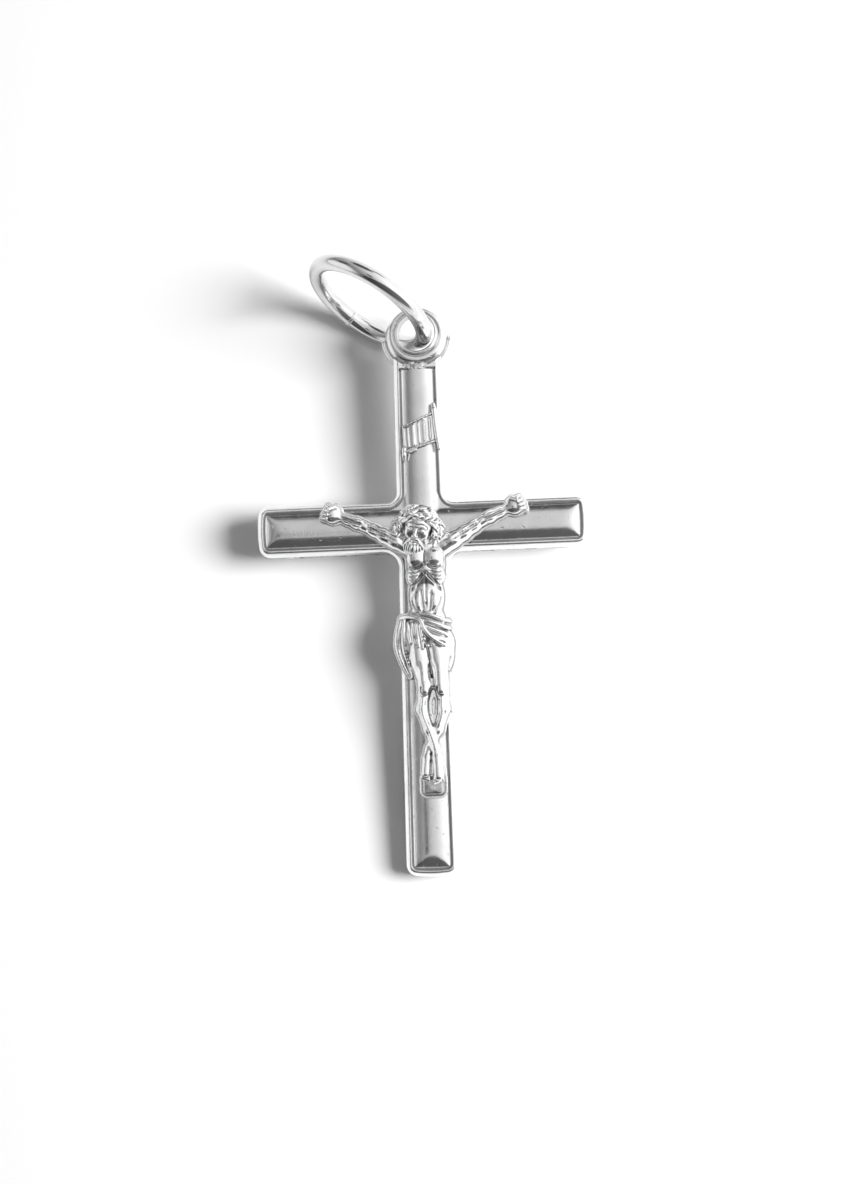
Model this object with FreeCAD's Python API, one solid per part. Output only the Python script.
"""Silver crucifix pendant: a hollow stamped cross with a cast figure, a hanging eye and a wire jump ring.

The cross lies on its back. The origin is where the centre lines of the two bars cross, on the flat back.
+Z is the front, +Y points to the hanging eye, +X is the viewer's right. All sizes are millimetres.
"""
import FreeCAD, Part
import math
import os
from FreeCAD import Vector

# Cross: reach of each bar from the crossing, and half widths at the back edge
ARM_REACH = 9.97
FOOT_REACH = 20.80
ARM_HALF = 1.55
FOOT_HALF = 1.60
NECK_HALF = 1.47
END_CORNER = 0.45
END_BOW_RADIUS = 8.0
MIN_CORNER = 0.10
INNER_CORNER_TOP = 0.50
INNER_CORNER_FOOT = 0.85

# Heights of the two stamped shells
WALL = 0.35
SEAM_Z = 0.45
SEAM_FILM = 0.05
RIM_Z = 1.45
GROOVE_Z = 1.15
PANEL_EDGE_Z = 1.25
CROWN_Z = 1.52
BACK_CHAMFER = 0.12
RIM_CHAMFER = 0.06

# Insets from the back edge of the cross, going inwards on the front
WALL_DRAFT = 0.12
RIM_WIDTH = 0.24
GROOVE_SLOPE = 0.09
GROOVE_FLOOR = 0.05

# Hanging eye, and the cup of the neck that holds its lower half
EYE_Y = 11.47
EYE_RADIUS = 1.90
NECK_BELOW_EYE = 0.60
EYE_LOW_Z = 0.15
EYE_HIGH_Z = 1.45
HOLE_RADIUS = 1.10
HOLE_ABOVE_EYE = 0.20
HOLE_EDGE_ROUND = 0.30
LIP_WIDTH = 0.16
LIP_HEIGHT = 0.08
BAND_ROUND = 0.70
CUP_WALL = 0.28
CUP_EDGE_ROUND = 0.09
CUP_LOW_Z = 0.30
CUP_HIGH_Z = 1.05
PANEL_TO_EYE = 0.08
NECK_LIFT = 0.30
SOLDER_BEAD = (0.72, 0.34, 0.30)
SOLDER_LEFT = 0.50
SOLDER_SINK = 0.08

# Jump ring: wire, size, and how it hangs in the eye
WIRE_RADIUS = 0.50
RING_RADIUS = 3.75
RING_AZIMUTH = 147.5
RING_LEAN = -14.3
RING_THREAD_ANGLE = 198.0
RING_EASE = 0.15
RING_REST_DIRECTION = -63.5
RING_GAP = 0.10
RING_GAP_ANGLE = 290.0
RING_BEAD_PROUD = 0.03
RING_BEAD_LENGTH = 0.30
RING_BEAD_ROUND = 0.075

# Figure, as rows along y: centre x, height of the centre above the crown, half width and half height
TORSO = [
    (-0.75, 0.10, 0.08, 0.95, 0.60), (-1.35, 0.20, 0.13, 1.42, 0.85),
    (-2.30, 0.20, 0.18, 1.25, 1.10), (-3.90, 0.15, 0.08, 0.98, 0.85),
    (-5.30, 0.02, 0.08, 1.12, 0.90), (-6.30, 0.00, 0.08, 1.10, 0.80),
]
HEAD = [
    (1.25, -0.08, 0.53, 0.55, 0.40), (0.75, -0.10, 0.63, 1.20, 0.85),
    (-0.30, -0.10, 0.68, 1.52, 1.10), (-1.30, -0.15, 0.68, 1.20, 1.00),
    (-1.95, -0.22, 0.63, 0.50, 0.50),
]
LOINCLOTH = [
    (-5.20, -0.02, 0.08, 1.18, 0.98), (-6.20, 0.00, 0.08, 1.45, 1.10),
    (-7.20, 0.02, 0.13, 1.78, 1.10), (-8.20, 0.05, 0.13, 1.35, 1.05),
    (-8.75, 0.08, 0.13, 1.02, 0.90),
]
LEFT_LEG = [
    (-7.60, -0.45, 0.23, 0.62, 0.72), (-9.90, -0.05, 0.33, 0.48, 0.70),
    (-12.10, 0.02, 0.18, 0.40, 0.50), (-13.70, 0.05, 0.23, 0.30, 0.40),
    (-15.10, 0.00, 0.33, 0.38, 0.40),
]
RIGHT_LEG = [
    (-7.60, 0.62, 0.23, 0.60, 0.72), (-9.90, 0.85, 0.33, 0.46, 0.70),
    (-12.10, 0.50, 0.18, 0.40, 0.50), (-13.70, 0.36, 0.23, 0.30, 0.40),
    (-15.10, 0.42, 0.33, 0.34, 0.40),
]
# Arms, as rows along x: centre y, height of the centre above the crown, half width and half height
LEFT_ARM = [
    (-0.60, -1.50, 0.23, 0.55, 0.60), (-1.40, -1.15, 0.28, 0.50, 0.55),
    (-2.40, -0.62, 0.28, 0.44, 0.48), (-3.45, -0.02, 0.28, 0.38, 0.42),
    (-4.30, 0.36, 0.28, 0.32, 0.36), (-4.90, 0.62, 0.28, 0.28, 0.32),
    (-5.45, 0.84, 0.33, 0.46, 0.42), (-6.10, 0.88, 0.28, 0.22, 0.24),
]
RIGHT_ARM = [
    (1.00, -1.35, 0.23, 0.55, 0.60), (1.80, -1.00, 0.28, 0.50, 0.55),
    (2.80, -0.42, 0.28, 0.44, 0.48), (3.70, 0.12, 0.28, 0.38, 0.42),
    (4.60, 0.50, 0.28, 0.32, 0.36), (5.20, 0.74, 0.28, 0.28, 0.32),
    (5.75, 0.97, 0.33, 0.46, 0.42), (6.45, 1.02, 0.28, 0.22, 0.24),
]
SECTION_POINTS = 12

# Foot rest under the feet; tops are above the crown
REST_CENTRE = (0.24, -15.45)
REST_HALF_WIDTH = 0.74
REST_LENGTH = 1.26
REST_CORNER = 0.36
REST_TOP = 0.53
REST_LIP = 0.10
REST_LIP_TOP = 0.20

# Scroll above the figure: a leaning plate with a roll on its right edge and a curl at its lower left.
# Heights are above the crown.
SCROLL_CORNERS = [(-0.90, 5.99), (-0.83, 4.42), (0.96, 4.98), (0.90, 6.80)]
SCROLL_TOP = 0.30
SCROLL_ROLL = ((0.92, 7.20, 0.20), (1.20, 4.52, 0.18), 0.20)
SCROLL_CURL = ((-0.86, 4.60, 0.14), (-0.90, 3.98, 0.06), 0.17)

# Solder pads under the applied castings: x, y and radius
PADS = [(-5.35, 0.70, 0.28), (5.62, 0.78, 0.28), (0.20, -2.40, 0.70), (0.05, -6.30, 0.70),
        (0.24, -15.30, 0.30), (0.10, 5.75, 0.45)]
PAD_DEPTH = 0.12

NECK_REACH = EYE_Y - NECK_BELOW_EYE
HOLE_Y = EYE_Y + HOLE_ABOVE_EYE
EYE_MID_Z = (EYE_LOW_Z + EYE_HIGH_Z) / 2
RIM_INSET = WALL_DRAFT + RIM_WIDTH
PANEL_INSET = RIM_INSET + GROOVE_SLOPE + GROOVE_FLOOR
POCKET_REACH = EYE_Y - EYE_RADIUS + RIM_INSET
CAVITY_REACH = EYE_Y - EYE_RADIUS
PANEL_TOP_Y = EYE_Y - EYE_RADIUS - PANEL_TO_EYE
TALL = 10.0


def upright_half(y):
    """Half width of the upright, which tapers a little from the foot to the neck."""
    share = (y + FOOT_REACH) / (NECK_REACH + FOOT_REACH)
    return FOOT_HALF + (NECK_HALF - FOOT_HALF) * share


def bar_end(reach, half, inset, turn, z):
    """Corner arc, bowed end and corner arc of a bar that runs along +X, turned about the crossing."""
    corner = max(END_CORNER - inset, MIN_CORNER)
    bow = END_BOW_RADIUS - inset
    bow_x = reach - inset - bow
    side = half - inset
    corner_x = bow_x + math.sqrt((bow - corner) ** 2 - (side - corner) ** 2)
    slope = math.atan2(side - corner, corner_x - bow_x)
    middle = (slope + math.pi / 2) / 2
    upper = [(bow_x + bow * math.cos(slope), bow * math.sin(slope)),
             (corner_x + corner * math.cos(middle), side - corner + corner * math.sin(middle)),
             (corner_x, side)]
    lower = [(x, -y) for x, y in reversed(upper)]
    local = lower + [(reach - inset, 0.0)] + upper
    angle = math.radians(turn)
    return [Vector(x * math.cos(angle) - y * math.sin(angle), x * math.sin(angle) + y * math.cos(angle), z)
            for x, y in local]


def inner_corner(x_side, y_side, radius, inset, z):
    """Hollow corner between two bars: arm tangent point, middle and upright tangent point."""
    arm = ARM_HALF - inset
    r = radius + inset
    half = upright_half(y_side * (arm + r)) - inset
    centre = (x_side * (half + r), y_side * (arm + r))
    diagonal = r * math.sqrt(0.5)
    return [Vector(centre[0], y_side * arm, z),
            Vector(centre[0] - x_side * diagonal, centre[1] - y_side * diagonal, z),
            Vector(x_side * half, centre[1], z)]


def cross_outline(inset, z, neck=NECK_REACH):
    """Closed outline of the cross, moved inwards by inset, at height z, its top bar reaching to neck."""
    right = bar_end(ARM_REACH, ARM_HALF, inset, 0, z)
    top = bar_end(neck, upright_half(neck), inset, 90, z)
    left = bar_end(ARM_REACH, ARM_HALF, inset, 180, z)
    foot = bar_end(FOOT_REACH, FOOT_HALF, inset, 270, z)
    corners = [inner_corner(1, 1, INNER_CORNER_TOP, inset, z),
               inner_corner(-1, 1, INNER_CORNER_TOP, inset, z)[::-1],
               inner_corner(-1, -1, INNER_CORNER_FOOT, inset, z),
               inner_corner(1, -1, INNER_CORNER_FOOT, inset, z)[::-1]]
    edges = []
    ring = [right, corners[0], top, corners[1], left, corners[2], foot, corners[3]]
    for index, points in enumerate(ring):
        for start in range(0, len(points) - 1, 2):
            edges.append(Part.Arc(*points[start:start + 3]).toShape())
        following = ring[(index + 1) % len(ring)]
        edges.append(Part.LineSegment(points[-1], following[0]).toShape())
    return Part.Wire(edges)


def cross_loft(levels, neck=NECK_REACH):
    """Solid through the outlines given as (inset, z), from the lowest to the highest."""
    return Part.makeLoft([cross_outline(inset, z, neck) for inset, z in levels], True, True)


def closed_face(points):
    return Part.Face(Part.makePolygon(points + points[:1]))


def arch_radius(half):
    rise = CROWN_Z - PANEL_EDGE_Z
    return (half ** 2 + rise ** 2) / (2 * rise)


def arch_wire(half, station, low_z):
    """Cross-section of a domed bar that runs along X: flat foot, upright edges and an arched top."""
    points = [Vector(station, -half, low_z), Vector(station, half, low_z),
              Vector(station, half, PANEL_EDGE_Z), Vector(station, -half, PANEL_EDGE_Z)]
    edges = [Part.LineSegment(points[0], points[1]).toShape(),
             Part.LineSegment(points[1], points[2]).toShape(),
             Part.Arc(points[2], Vector(station, 0, CROWN_Z), points[3]).toShape(),
             Part.LineSegment(points[3], points[0]).toShape()]
    return Part.Wire(edges)


def hip_point(end, direction, half, distance):
    """Point of the hipped end, where the dome falls to the edge at the same curve as along the sides."""
    radius = arch_radius(half)
    height = CROWN_Z - radius + math.sqrt(radius ** 2 - (half - distance) ** 2)
    return Vector(end - direction * distance, 0, height)


def hip_solid(start, finish, half, low_z):
    """Side view of a domed bar, as a solid wide enough to trim its two ends."""
    first = [hip_point(start, -1, half, half * share) for share in (0.0, 0.5, 1.0)]
    last = [hip_point(finish, 1, half, half * share) for share in (1.0, 0.5, 0.0)]
    base = [Vector(finish, 0, low_z), Vector(start, 0, low_z)]
    edges = [Part.Arc(*first).toShape(), Part.LineSegment(first[2], last[0]).toShape(),
             Part.Arc(*last).toShape(), Part.LineSegment(last[2], base[0]).toShape(),
             Part.LineSegment(base[0], base[1]).toShape(), Part.LineSegment(base[1], first[0]).toShape()]
    side = Part.Face(Part.Wire(edges))
    side.translate(Vector(0, -TALL / 2, 0))
    return side.extrude(Vector(0, TALL, 0))


def domed_bar(start, finish, half_start, half_finish, low_z):
    """Domed bar along X with hipped ends."""
    sections = [arch_wire(half_start, start, low_z), arch_wire(half_finish, finish, low_z)]
    arch = Part.makeLoft(sections, True, True)
    return arch.common(hip_solid(start, finish, (half_start + half_finish) / 2, low_z))


def domed_panel():
    """The raised panel of the cross: two domed bars that meet in creases at the crossing."""
    low_z = GROOVE_Z - BACK_CHAMFER
    arm = domed_bar(-ARM_REACH + PANEL_INSET, ARM_REACH - PANEL_INSET,
                    ARM_HALF - PANEL_INSET, ARM_HALF - PANEL_INSET, low_z)
    foot_y = -FOOT_REACH + PANEL_INSET
    upright = domed_bar(foot_y, PANEL_TOP_Y, upright_half(foot_y) - PANEL_INSET,
                        upright_half(PANEL_TOP_Y) - PANEL_INSET, low_z)
    upright.rotate(Vector(), Vector(0, 0, 1), 90)
    trim = cross_loft([(PANEL_INSET, low_z), (PANEL_INSET, CROWN_Z + WALL)], PANEL_TOP_Y + PANEL_INSET)
    return arm.fuse(upright).common(trim)


def eye_room():
    """Upright cylinder that the eye fills, cut out of the neck."""
    return Part.makeCylinder(EYE_RADIUS, TALL, Vector(0, EYE_Y, -TALL / 2))


def neck_cup():
    """Half ring of the stamping that holds the lower half of the eye, with softened ends."""
    outer = EYE_RADIUS + CUP_WALL
    height = CUP_HIGH_Z - CUP_LOW_Z
    disc = Part.makeCylinder(outer, height, Vector(0, EYE_Y, CUP_LOW_Z))
    disc = disc.makeFillet(CUP_EDGE_ROUND, [e for e in disc.Edges if isinstance(e.Curve, Part.Circle)])
    lower = Part.makeBox(2 * outer, outer, TALL, Vector(-outer, EYE_Y - outer, -TALL / 2))
    return disc.common(lower)


def neck_slope():
    """Wedge that lifts the back of the neck clear of the jump ring."""
    start = PANEL_TOP_Y
    rise = [Vector(-TALL, start, -TALL), Vector(-TALL, start, 0), Vector(-TALL, NECK_REACH, NECK_LIFT),
            Vector(-TALL, NECK_REACH + TALL, NECK_LIFT), Vector(-TALL, NECK_REACH + TALL, -TALL)]
    return closed_face(rise).extrude(Vector(2 * TALL, 0, 0))


def back_shell():
    """Flat stamped back with a low wall, open towards the front."""
    top = SEAM_Z - SEAM_FILM
    body = cross_loft([(BACK_CHAMFER, 0.0), (0.0, BACK_CHAMFER)])
    body = body.fuse(cross_loft([(0.0, BACK_CHAMFER), (0.0, top)]))
    body = body.cut(cross_loft([(WALL, WALL), (WALL, top + WALL)], CAVITY_REACH))
    return body.cut(neck_slope()).cut(eye_room()).removeSplitter()


def seam_solder():
    """Film of solder between the walls of the two shells."""
    low = SEAM_Z - SEAM_FILM
    film = cross_loft([(0.0, low), (0.0, SEAM_Z)])
    film = film.cut(cross_loft([(WALL, low - WALL), (WALL, SEAM_Z + WALL)], CAVITY_REACH))
    return film.cut(eye_room())


def front_envelope():
    """The front shell as a full solid, with nothing hollowed out of its back."""
    body = cross_loft([(0.0, SEAM_Z), (WALL_DRAFT, RIM_Z - RIM_CHAMFER)])
    body = body.fuse(cross_loft([(WALL_DRAFT, RIM_Z - RIM_CHAMFER), (WALL_DRAFT + RIM_CHAMFER, RIM_Z)]))
    pocket = cross_loft([(RIM_INSET + GROOVE_SLOPE, GROOVE_Z), (RIM_INSET, RIM_Z),
                         (RIM_INSET - GROOVE_SLOPE, RIM_Z + RIM_Z - GROOVE_Z)], POCKET_REACH)
    body = body.cut(pocket).fuse(domed_panel())
    cup = neck_cup().cut(Part.makeBox(2 * TALL, 2 * TALL, SEAM_Z, Vector(-TALL, 0, 0)))
    return body.fuse(cup).cut(eye_room()).removeSplitter()


def front_shell(envelope):
    """Stamped front: rim, groove and domed panel, hollow behind."""
    ceiling = GROOVE_Z - WALL
    hollow = cross_loft([(WALL, SEAM_Z - WALL), (WALL, ceiling)], CAVITY_REACH)
    return envelope.cut(hollow)


def top_loop():
    """Hanging eye: a disc with a rounded rim, a hole near its top and a raised lip round the hole."""
    thickness = EYE_HIGH_Z - EYE_LOW_Z
    disc = Part.makeCylinder(EYE_RADIUS, thickness, Vector(0, EYE_Y, EYE_LOW_Z))
    rims = [e for e in disc.Edges if isinstance(e.Curve, Part.Circle)]
    disc = disc.makeFillet(BAND_ROUND * thickness / 2, rims)
    lip = Part.makeCylinder(HOLE_RADIUS + LIP_WIDTH, LIP_HEIGHT + thickness / 2, Vector(0, HOLE_Y, EYE_MID_Z))
    eye = disc.fuse(lip)
    eye = eye.cut(Part.makeCylinder(HOLE_RADIUS, TALL, Vector(0, HOLE_Y, -TALL / 2)))
    low = Part.makeCone(HOLE_RADIUS + HOLE_EDGE_ROUND, HOLE_RADIUS, HOLE_EDGE_ROUND,
                        Vector(0, HOLE_Y, EYE_LOW_Z))
    return eye.cut(low)


def neck_solder(neighbours):
    """Bead of solder between the eye and the top of the panel, a little to the left."""
    bead = Part.makeSphere(1.0)
    matrix = FreeCAD.Matrix()
    matrix.scale(Vector(*SOLDER_BEAD))
    bead = bead.transformGeometry(matrix)
    bead.translate(Vector(-SOLDER_LEFT, EYE_Y - EYE_RADIUS, EYE_HIGH_Z - SOLDER_SINK))
    for neighbour in neighbours:
        bead = bead.cut(neighbour)
    return biggest(bead)


def biggest(shape):
    return max(shape.Solids, key=lambda solid: solid.Volume)


def limb(rows, along_x):
    """Smooth solid through rounded sections; each row is station, side, height and two half sizes."""
    wires = []
    for station, side, height, half_side, half_height in rows:
        points = []
        for step in range(SECTION_POINTS):
            angle = 2 * math.pi * step / SECTION_POINTS
            s = side + half_side * math.cos(angle)
            z = CROWN_Z + height + half_height * math.sin(angle)
            points.append(Vector(station, s, z) if along_x else Vector(s, station, z))
        curve = Part.BSplineCurve()
        curve.interpolate(points, PeriodicFlag=True)
        wires.append(Part.Wire([curve.toShape()]))
    return Part.makeLoft(wires, True, False)


def corpus(envelope, rest, pads):
    """Cast figure: head, body, cloth, arms and legs in one casting, its back shaped to the panel."""
    figure = limb(TORSO, False)
    for rows in (HEAD, LOINCLOTH, LEFT_LEG, RIGHT_LEG):
        figure = figure.fuse(limb(rows, False))
    for rows in (LEFT_ARM, RIGHT_ARM):
        figure = figure.fuse(limb(rows, True))
    for neighbour in [envelope, rest] + pads:
        figure = figure.cut(neighbour)
    above = Part.makeBox(4 * TALL, 4 * TALL, TALL, Vector(-2 * TALL, -2 * TALL, PANEL_EDGE_Z))
    return biggest(figure.common(above))


def rest_block(grow, top_z):
    """Block with two round lower corners, grown on every side by grow."""
    x, y = REST_CENTRE
    half = REST_HALF_WIDTH + grow
    low = y - REST_LENGTH / 2 - grow
    high = y + REST_LENGTH / 2
    block = Part.makeBox(2 * half, high - low, top_z - GROOVE_Z, Vector(x - half, low, GROOVE_Z))
    lower = [e for e in block.Edges
             if round(abs(e.tangentAt(e.FirstParameter).z)) == 1 and abs(e.CenterOfMass.y - low) < MIN_CORNER]
    return block.makeFillet(REST_CORNER, lower)


def foot_rest(envelope):
    """Foot rest with a low lip round it."""
    block = rest_block(0.0, CROWN_Z + REST_TOP)
    lip = rest_block(REST_LIP, CROWN_Z + REST_LIP_TOP)
    return biggest(block.fuse(lip).cut(envelope))


def rod(start, finish, radius):
    """Round rod between two points whose heights are above the crown."""
    a = Vector(*start) + Vector(0, 0, CROWN_Z)
    b = Vector(*finish) + Vector(0, 0, CROWN_Z)
    return Part.makeCylinder(radius, (b - a).Length, a, b - a)


def titulus_scroll(envelope, pads):
    """Scroll plate with a rolled right edge and a curl at its lower left corner."""
    plate = closed_face([Vector(x, y, PANEL_EDGE_Z) for x, y in SCROLL_CORNERS])
    plate = plate.extrude(Vector(0, 0, CROWN_Z + SCROLL_TOP - PANEL_EDGE_Z))
    scroll = plate.fuse(rod(*SCROLL_ROLL)).fuse(rod(*SCROLL_CURL))
    for neighbour in [envelope] + pads:
        scroll = scroll.cut(neighbour)
    return biggest(scroll)


def solder_pads(envelope):
    """Pads of solder on the panel, let into the backs of the castings."""
    pads = []
    for x, y, radius in PADS:
        above = PAD_DEPTH + panel_height(x, y) - GROOVE_Z
        pads.append(biggest(Part.makeCylinder(radius, above, Vector(x, y, GROOVE_Z)).cut(envelope)))
    return pads


def panel_height(x, y):
    """Height of the domed panel at a point: the higher of the two bars there."""
    heights = [PANEL_EDGE_Z]
    for half, distance in ((ARM_HALF - PANEL_INSET, abs(y)), (upright_half(y) - PANEL_INSET, abs(x))):
        if distance < half:
            radius = arch_radius(half)
            heights.append(CROWN_Z - radius + math.sqrt(radius ** 2 - distance ** 2))
    return max(heights)


def ring_placement():
    """Ring's own frame: X from its centre away from the eye, Y up its leaning plane, Z its axis."""
    azimuth = math.radians(RING_AZIMUTH)
    lean = math.radians(RING_LEAN)
    away = Vector(math.cos(azimuth), math.sin(azimuth), 0)
    across = Vector(-math.sin(azimuth), math.cos(azimuth), 0)
    up = across * math.sin(lean) + Vector(0, 0, math.cos(lean))
    thread = math.radians(RING_THREAD_ANGLE)
    rest = math.radians(RING_REST_DIRECTION)
    offset = HOLE_RADIUS - WIRE_RADIUS - RING_EASE
    wire_point = Vector(offset * math.cos(rest), HOLE_Y + offset * math.sin(rest), EYE_MID_Z)
    centre = wire_point - away * (RING_RADIUS * math.cos(thread)) - up * (RING_RADIUS * math.sin(thread))
    axis = away.cross(up)
    matrix = FreeCAD.Matrix(away.x, up.x, axis.x, centre.x, away.y, up.y, axis.y, centre.y,
                            away.z, up.z, axis.z, centre.z, 0, 0, 0, 1)
    return FreeCAD.Placement(matrix)


def ring_slice(length, radius):
    """Short piece of round wire across the ring's joint, in the ring's own frame."""
    angle = math.radians(RING_GAP_ANGLE)
    direction = Vector(-math.sin(angle), math.cos(angle), 0)
    middle = Vector(math.cos(angle), math.sin(angle), 0) * RING_RADIUS
    return Part.makeCylinder(radius, length, middle - direction * (length / 2), direction)


def jump_ring():
    """Round wire ring, cut through once where its two ends meet."""
    ring = Part.makeTorus(RING_RADIUS, WIRE_RADIUS)
    ring = ring.cut(ring_slice(RING_GAP, WIRE_RADIUS * 2))
    ring.Placement = ring_placement()
    return ring


def ring_solder(ring):
    """Solder that fills the ring's joint and stands a little proud of the wire."""
    bead = ring_slice(RING_BEAD_LENGTH, WIRE_RADIUS + RING_BEAD_PROUD)
    bead = bead.makeFillet(RING_BEAD_ROUND, [e for e in bead.Edges if isinstance(e.Curve, Part.Circle)])
    bead.Placement = ring_placement()
    return biggest(bead.cut(ring))


def build():
    envelope = front_envelope()
    loop = top_loop()
    pads = solder_pads(envelope)
    rest = foot_rest(envelope)
    rest_pads = [pad for pad in pads if pad.distToShape(rest)[0] < PAD_DEPTH]
    for pad in rest_pads:
        rest = rest.cut(pad)
    ring = jump_ring()
    front = front_shell(envelope)
    return {
        "front_shell": front,
        "back_shell": back_shell(),
        "seam_solder": seam_solder(),
        "top_loop": loop,
        "neck_solder": neck_solder([envelope, loop]),
        "corpus": corpus(envelope, rest, pads),
        "foot_rest": rest,
        "titulus_scroll": titulus_scroll(envelope, pads),
        "solder_pads": Part.makeCompound(pads),
        "jump_ring": ring,
        "ring_solder": ring_solder(ring),
    }


os.makedirs("parts", exist_ok=True)
for name, shape in build().items():
    print(name, shape.isValid(), len(shape.Solids), round(shape.Volume, 3))
    shape.exportStep("parts/" + name + ".step")
